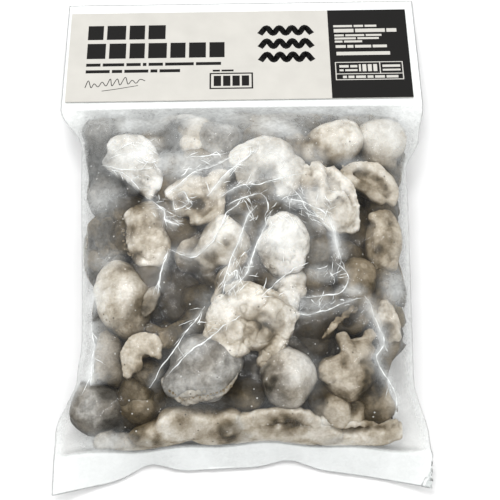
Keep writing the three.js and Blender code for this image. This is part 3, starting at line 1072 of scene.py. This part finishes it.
def front_film():
    """The front film's heights and how white it is: milky with frost, and whitened by painted glare and
    painted highlights along its creases.
    """
    outside = read_grid(top_grid, film_x, film_y)
    flesh = read_grid(flesh_under_film, film_x, film_y)
    lowest = np.where(flesh > 0, flesh + FILM_LIFT, 0)
    z = drawn_tight(outside, lowest, 1, FRONT_ROUNDS)
    for _ in range(EVEN_ROUNDS):
        z = np.where(held, outside, neighbour_mean(z))
    gap = np.where(flesh > 0, z - flesh, 20 * MM)

    slack = smooth_step(gap, 0.5 * MM, 3 * MM)
    crumple = np.zeros(z.shape)
    for i in np.ndindex(z.shape):
        spot = Vector((film_x[i], film_y[i], 0)) * 48
        crumple[i] = noise.ridged_multi_fractal(spot, 0.9, 2.1, 2, 1.0, 2.0)
    crumple = neighbour_mean(crumple - crumple.mean())
    z = z + (0.25 + 0.35 * smooth_step(gap, 2 * MM, 9 * MM)) * MM * slack * crumple
    strain_and_highlight = np.zeros(z.shape)
    for route, height, half_width, white in CREASES:
        distance, place = along_route(film_x, film_y, route)
        taper = np.clip(8 * np.minimum(place, 1 - place), 0, 1) ** 0.5
        z = z + 0.5 * height * MM * taper * np.exp(-distance / (half_width * MM))
        strain_and_highlight = np.maximum(strain_and_highlight, white * taper * np.exp(-distance / (1.3 * half_width * MM)))
    z = np.maximum(z, lowest)
    z = z + (middle + SHEET_GAP - z) * welded
    z = closed_at_rim(z, 1, read_grid(flesh_above, film_x, film_y))

    film_whiteness = 0.006 * smooth_step(gap, 0.8 * MM, 12 * MM)
    # Frost and painted glare whiten the film in these patches
    for x, y, radius_x, radius_y, white in FROST_AND_GLARE:
        away = ((film_x / MM - x) / radius_x) ** 2 + ((film_y / MM - y) / radius_y) ** 2
        film_whiteness = np.maximum(film_whiteness, white * np.exp(-(away**1.4)))
    upper_left = smooth_step(-film_x, 52 * MM, 74 * MM) * smooth_step(film_y, -60 * MM, -10 * MM)
    film_whiteness = film_whiteness + 0.12 * upper_left
    film_whiteness = film_whiteness + 0.15 * smooth_step(film_x, 64 * MM, 80 * MM)
    film_whiteness = film_whiteness + 0.36 * smooth_step(film_y, 38 * MM, 58 * MM)
    film_whiteness = film_whiteness * (1 + 0.5 * crumple)
    # Strain whitening and a painted highlight along each crease
    film_whiteness = np.maximum(film_whiteness, strain_and_highlight * (1 + 0.8 * crumple))
    film_whiteness = np.maximum(film_whiteness, rim_milk)
    film_whiteness = film_whiteness + (0.88 + 0.1 * crumple - film_whiteness) * welded
    return z, np.clip(film_whiteness, 0, 0.97)


def back_film():
    """The back film's heights and how milky it is."""
    flesh = read_grid(flesh_over_film, film_x, film_y)
    highest = np.where(flesh < 50 * MM, flesh - FILM_LIFT, 1)
    z = drawn_tight(read_grid(bottom_grid, film_x, film_y), highest, -1, BACK_ROUNDS)
    z = z + (middle - SHEET_GAP - z) * welded
    z = closed_at_rim(z, -1, read_grid(flesh_below, film_x, film_y))
    film_whiteness = np.maximum(0.05 + 0.30 * smooth_step(film_y, 38 * MM, 58 * MM), rim_milk)
    film_whiteness = film_whiteness + (0.80 - film_whiteness) * welded
    return np.maximum(z, TABLE_GAP), film_whiteness


def sheet(z, film_whiteness):
    """The film's points at the given heights, as a mesh that knows how milky they are."""
    shape = bmesh.new()
    bmesh.ops.create_grid(shape, x_segments=FILM_CELLS[0], y_segments=FILM_CELLS[1], size=1)
    mesh = finished_mesh("sheet", shape)
    points = np.zeros(len(mesh.vertices) * 3)
    mesh.vertices.foreach_get("co", points)
    points = points.reshape(-1, 3)
    column = np.rint((points[:, 0] + 1) / 2 * FILM_CELLS[0]).astype(int)
    row = np.rint((points[:, 1] + 1) / 2 * FILM_CELLS[1]).astype(int)
    points = np.stack([film_x[row, column], film_y[row, column], z[row, column]], axis=1)
    mesh.vertices.foreach_set("co", points.ravel())
    store(mesh, "film_whiteness", film_whiteness[row, column])
    return mesh


film_shape = bmesh.new()
for film_side in (sheet(*front_film()), sheet(*back_film())):
    film_shape.from_mesh(film_side)
    bpy.data.meshes.remove(film_side)
rim_verts = [vert for vert in film_shape.verts if vert.is_boundary]
bmesh.ops.remove_doubles(film_shape, verts=rim_verts, dist=0.01 * MM)
bmesh.ops.recalc_face_normals(film_shape, faces=film_shape.faces)
film = added_object("film", finished_mesh("film", film_shape))
film.data.shade_smooth()


def blended(tree, share, first, second):
    """A mix of two shaders, by the second one's share."""
    return shader_node(tree, "MixShader", {"Fac": share, 1: first.outputs[0], 2: second.outputs[0]})


def clear_film_finish():
    """Clear glossy film, glossier where it turns away, and white with a frosty grain where its points
    carry milkiness, painted glare and painted highlights.
    """
    finish, tree, white_layer = new_finish("clear_film")
    place = shader_node(tree, "TexCoord").outputs["Object"]
    rippled = bumped(tree, noise_at(tree, place, 160, 3), 0.35, 0.0006)
    set_inputs(tree, white_layer, {"Base Color": (0.925, 0.95, 0.942, 1), "Roughness": 0.35, "Normal": rippled})
    clear = shader_node(tree, "BsdfTransparent", {"Color": (0.97, 0.97, 0.965, 1)})
    sharp_gloss = shader_node(tree, "BsdfGlossy", {"Roughness": 0.09, "Normal": rippled})
    soft_gloss = shader_node(tree, "BsdfGlossy", {"Roughness": 0.34, "Normal": rippled})
    gloss = blended(tree, SOFT_SHARE, sharp_gloss, soft_gloss)
    turned_away = shader_node(tree, "LayerWeight", {"Blend": 0.5}).outputs["Facing"]
    at_edge = reckoned(tree, "POWER", turned_away, 5)
    shine = reckoned(tree, "MULTIPLY_ADD", at_edge, EDGE_SHINE, FACING_SHINE)
    glossy_film = blended(tree, shine, clear, gloss)
    film_whiteness = shader_node(tree, "Attribute", attribute_name="film_whiteness").outputs["Fac"]
    grain = noise_at(tree, place, 420, 5, 0.65, 0.8)
    grain_amount = reckoned(tree, "MULTIPLY_ADD", grain, FROST_GRAIN, -FROST_GRAIN / 2)
    grain_room = reckoned(tree, "MULTIPLY", film_whiteness, reckoned(tree, "SUBTRACT", 1.0, film_whiteness))
    whitened_share = reckoned(tree, "MULTIPLY_ADD", grain_room, grain_amount, film_whiteness, clamp=True)
    surface = blended(tree, whitened_share, glossy_film, white_layer)
    set_inputs(tree, tree.nodes["Material Output"], {"Surface": surface.outputs[0]})
    return finish


film_finish = clear_film_finish()
film.data.materials.append(film_finish)
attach(film, "root")
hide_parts("film_bag")

# The film's sharp folds
# Where the slack film is nipped into a fold it stands up as a thin hard edge, whitened partly by the
# strain and partly by a painted highlight along it.
# They are part of the same film, too fine for its mesh, so they are made as ridges along it.

FOLD_RADIUS = 0.30 * MM
FOLD_STEPS = 8

# Where the film is crumpled all over: x, y, two radii, the heading of its creases and their number
CRUMPLED = [
    (-7, -38, 6, 11, 60, 18),
    (-1, -27, 6, 8, 60, 11),
    (4, 0, 2, 8, 90, 8),
    (12, -8, 3, 9, 65, 10),
    (22, 3, 8, 9, -50, 20),
    (33, 1, 8, 7, -50, 24),
    (36, -31, 7, 2.5, 5, 8),
    (-52, 28, 11, 9, -20, 12),
    (-41, 5, 5, 6, -45, 9),
    (-30, 3, 5, 7, -25, 10),
    (-24, 20, 7, 4, 15, 8),
    (-4, 20, 7, 8, 38, 10),
    (38, -45, 10, 3, 12, 9),
    (-20, -57, 4, 3, 40, 5),
    (10, -43, 7, 3, 25, 7),
    (14, 26, 12, 8, 20, 8),
]


def short_fold(start, heading, bend, length):
    """The points of a short fold from a place, which turns by its bend on the way."""
    line = [start]
    for i in range(FOLD_STEPS):
        way = heading + bend * i / FOLD_STEPS
        line.append(line[-1] + Vector((math.cos(way), math.sin(way), 0)) * length / FOLD_STEPS)
    return line


fold_draw = np.random.default_rng(21)
fold_routes = []
for route, height, half_width, white in CREASES:
    line = list(smooth_route([Vector((x * MM, y * MM, 0)) for x, y in route], 10))
    fold_routes.append((line, 0.55 + 0.3 * height))
    fold_routes.append((line, 0.4 + 0.2 * height))
    ahead = line[-1] - line[0]
    for _ in range(round(3 * height + 1)):
        start = line[int(fold_draw.integers(1, len(line) - 1))]
        heading = math.atan2(ahead.y, ahead.x) + fold_draw.uniform(-1.1, 1.1)
        branch = short_fold(start, heading, 0, fold_draw.uniform(3, 9) * MM)
        fold_routes.append((branch, 0.45))
for x, y, radius_x, radius_y, heading, count in CRUMPLED:
    for _ in range(count):
        across = x + radius_x * fold_draw.uniform(-1, 1)
        along = y + radius_y * fold_draw.uniform(-1, 1)
        turned = math.radians(heading) + fold_draw.normal(0, 0.55)
        bend = fold_draw.uniform(-0.9, 0.9)
        length = fold_draw.uniform(2.5, 7.5) * MM
        branch = short_fold(Vector((across, along, 0)) * MM, turned, bend, length)
        fold_routes.append((branch, fold_draw.uniform(0.25, 0.6)))

film_tree = BVHTree.FromObject(film, bpy.context.evaluated_depsgraph_get())
fold_curve = bpy.data.curves.new("film_folds", "CURVE")
fold_curve.dimensions = "3D"
fold_curve.bevel_depth = FOLD_RADIUS
fold_curve.bevel_resolution = 1
fold_curve.use_fill_caps = True
for number, (line, size) in enumerate(fold_routes):
    spline = fold_curve.splines.new("POLY")
    spline.points.add(len(line) - 1)
    shift = Vector((0, 0, number * 0.1))
    for i, place in enumerate(line):
        wander = noise.noise_vector(place * 130 + shift) * 1.0 * MM
        jitter = noise.noise_vector(place * 520 + shift) * 0.35 * MM
        place = place + wander + jitter
        hit = film_tree.ray_cast(Vector((place.x, place.y, 0.1)), Vector((0, 0, -1)))[0]
        part = i / (len(line) - 1)
        taper = 0.15 + 0.85 * min(1, 4 * part, 4 * (1 - part))
        ragged = max(0.12, 0.75 + 1.5 * noise.noise(place * 420 + shift))
        spline.points[i].co = (place.x, place.y, hit.z + 0.03 * MM, 1)
        spline.points[i].radius = size * taper * ragged
fold_holder = added_object("film_folds", fold_curve)
depsgraph = bpy.context.evaluated_depsgraph_get()
fold_mesh = bpy.data.meshes.new_from_object(fold_holder.evaluated_get(depsgraph))
bpy.data.objects.remove(fold_holder)
# Near white along the folds: strain whitening and a painted highlight
whiteness = [min(0.98, 0.80 + 0.7 * noise.noise(vert.co * 260)) for vert in fold_mesh.vertices]
store(fold_mesh, "film_whiteness", whiteness)
fold_mesh.shade_smooth()
fold_mesh.materials.clear()
fold_mesh.materials.append(film_finish)
film_folds = added_object("film_folds", fold_mesh)
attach(film_folds, "root")
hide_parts("film_bag")

# The label
# A strip of smooth paper that covers the header's front, printed in one dark ink on cream. The
# lettering isn't made: plain bars stand where the lines of print are.

LABEL_THICKNESS = 0.5 * MM
INK_THICKNESS = 0.03 * MM
label_low, label_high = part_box("label")
label_fall = label_high.z - (label_low.z + LABEL_THICKNESS)
label_slope = math.atan2(label_fall, label_high.y - label_low.y)
label_length = math.hypot(label_fall, label_high.y - label_low.y) / MM
label_width = (label_high.x - label_low.x) / MM


def on_label(across, down, lift):
    """A place on the label in metres, from millimetres across and down from its upper left corner."""
    top = label_low.z + LABEL_THICKNESS
    y = label_high.y - down * MM * math.cos(label_slope) + lift * math.sin(label_slope)
    z = top + down * MM * math.sin(label_slope) + lift * math.cos(label_slope)
    return Vector((label_low.x + across * MM, y, z))


DARK_INK = 0
PAPER = 1
print_shape = bmesh.new()


def ink_plate(across, down, length, width, tint, heading=0.0, layer=0):
    """A thin plate of ink round a place on the paper, in millimetres, turned to its heading."""
    made = bmesh.ops.create_cube(print_shape, size=1)["verts"]
    middle = on_label(across, down, (0.5 + layer) * INK_THICKNESS)
    size = Matrix.Diagonal((length * MM, width * MM, INK_THICKNESS, 1))
    turn = Matrix.Rotation(-label_slope, 4, "X") @ Matrix.Rotation(heading, 4, "Z")
    bmesh.ops.transform(print_shape, matrix=Matrix.Translation(middle) @ turn @ size, verts=made)
    for face in {face for vert in made for face in vert.link_faces}:
        face.material_index = tint


def ink_field(left, top, right, bottom, tint, layer=0):
    """A field of ink between four lines in millimetres."""
    ink_plate((left + right) / 2, (top + bottom) / 2, right - left, bottom - top, tint, layer=layer)


def ink_row(left, right, top, bottom, shares, tint, gap=1.1, layer=0):
    """A row of ink bars in place of words, with the given shares of its width."""
    room = right - left - gap * (len(shares) - 1)
    start = left
    for share in shares:
        width = room * share / sum(shares)
        ink_field(start, top, start + width, bottom, tint, layer)
        start += width + gap


def ink_frame(left, top, right, bottom, line, tint, layer=0):
    """Four thin lines of ink round a field."""
    ink_field(left, top, right, top + line, tint, layer)
    ink_field(left, bottom - line, right, bottom, tint, layer)
    ink_field(left, top + line, left + line, bottom - line, tint, layer)
    ink_field(right - line, top + line, right, bottom - line, tint, layer)


def ink_stroke(route, width, tint):
    """A curved line of ink along a route of millimetres across and down, as short thin plates."""
    line = list(smooth_route([Vector((across, down, 0)) for across, down in route], 6))
    for start, end in zip(line, line[1:]):
        length = (end - start).length + 0.4 * width
        heading = math.atan2(start.y - end.y, end.x - start.x)
        ink_plate((start.x + end.x) / 2, (start.y + end.y) / 2, length, width, tint, heading)


# The heading's two rows, and the lines under it
ink_row(9.2, 49.1, 8.7, 18.3, (9, 11, 9, 10), DARK_INK, 1.8)
ink_row(9.3, 79.5, 20.9, 31.1, (11, 10, 9, 11, 9, 10, 9), DARK_INK, 1.8)
ink_row(9.3, 77.7, 34.2, 36.2, (4, 6, 4, 1, 4, 8, 7), DARK_INK)
ink_row(9.3, 57.0, 38.6, 40.6, (7, 3, 7, 2, 6), DARK_INK)
# A pen stroke with a line under it
pen = [(9.5, 50), (11, 45.5), (12.5, 50), (14, 47.5), (16, 49.5), (18, 46.5), (20, 49), (22, 44.5)]
pen += [(23, 49), (25.5, 44.5), (27, 48.5), (29.5, 43.5), (31, 48), (33, 45.5), (35, 47.5), (37, 45)]
pen += [(39.5, 46)]
ink_stroke(pen, 0.4, DARK_INK)
ink_stroke([(18, 52.3), (26, 51), (36, 49)], 0.35, DARK_INK)
# Three plain waves in place of the mark
for down in (13.5, 22.5, 31.5):
    wave = [(98 + 3.25 * i, down + (-2.0 if i % 2 else 2.0)) for i in range(9)]
    ink_stroke(wave, 3.2, DARK_INK)
# A small framed field with four bars
ink_frame(71.9, 41.5, 93.8, 52.0, 0.8, DARK_INK)
ink_row(73.5, 84.0, 39.4, 40.6, (3, 5), DARK_INK, 0.8)
ink_row(74.0, 91.8, 43.4, 50.1, (1, 1, 1, 1), DARK_INK, 1.0)
# The dark field with its light lines
ink_field(133.0, 0.0, label_width, label_length, DARK_INK)
for left, right, top, bottom, shares in [
    (135.7, 158.0, 10.5, 11.9, (8, 4, 5)),
    (135.8, 168.1, 13.1, 15.5, (6, 9, 3)),
    (136.0, 160.2, 16.9, 18.2, (3, 6, 5)),
    (136.0, 158.7, 19.0, 20.3, (7, 7)),
    (136.0, 150.0, 21.1, 22.4, (3, 7)),
    (136.3, 162.5, 24.2, 26.0, (5, 3, 8, 7)),
    (136.5, 163.8, 28.7, 31.0, (1,)),
    (137.5, 146.6, 37.6, 39.2, (4, 3)),
    (137.5, 146.6, 40.4, 41.6, (1, 3)),
    (147.4, 156.6, 37.2, 41.8, (1, 2, 2, 2)),
    (159.3, 168.3, 37.6, 39.2, (1,)),
    (159.3, 168.3, 40.4, 41.6, (1,)),
    (139.0, 166.9, 44.6, 46.2, (2, 3, 5, 3, 5, 6)),
]:
    ink_row(left, right, top, bottom, shares, PAPER, 0.8, 1)
ink_frame(135.4, 35.5, 169.7, 47.4, 0.5, PAPER, 1)
ink_field(135.9, 43.1, 169.2, 43.6, PAPER, 1)
ink_field(157.8, 36.0, 158.3, 43.1, PAPER, 1)
label_print = added_object("label_print", finished_mesh("label_print", print_shape))
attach(label_print, "root")


def paper_finish(name, colour, roughness):
    """Smooth paper or ink on it, with a faint mottle and a fine tooth."""
    finish, tree, paper = new_finish(name)
    place = shader_node(tree, "TexCoord").outputs["Object"]
    darker = (*(0.93 * part for part in colour), 1)
    tint = tinted(tree, noise_at(tree, place, 90, 4), [(0.3, darker), (0.7, (*colour, 1))])
    tooth = bumped(tree, noise_at(tree, place, 2200), 0.12, 0.0001)
    looks = {"Base Color": tint, "Roughness": roughness, "Specular IOR Level": 0.12}
    set_inputs(tree, paper, looks | {"Normal": tooth})
    return finish


dark_ink = paper_finish("dark_ink", (0.011, 0.0105, 0.010), 0.7)
cream_paper = paper_finish("cream_paper", (0.57, 0.555, 0.515), 0.6)
label_print.data.materials.append(dark_ink)
label_print.data.materials.append(cream_paper)
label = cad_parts["label"]
for slot in label.material_slots:
    slot.material = cream_paper
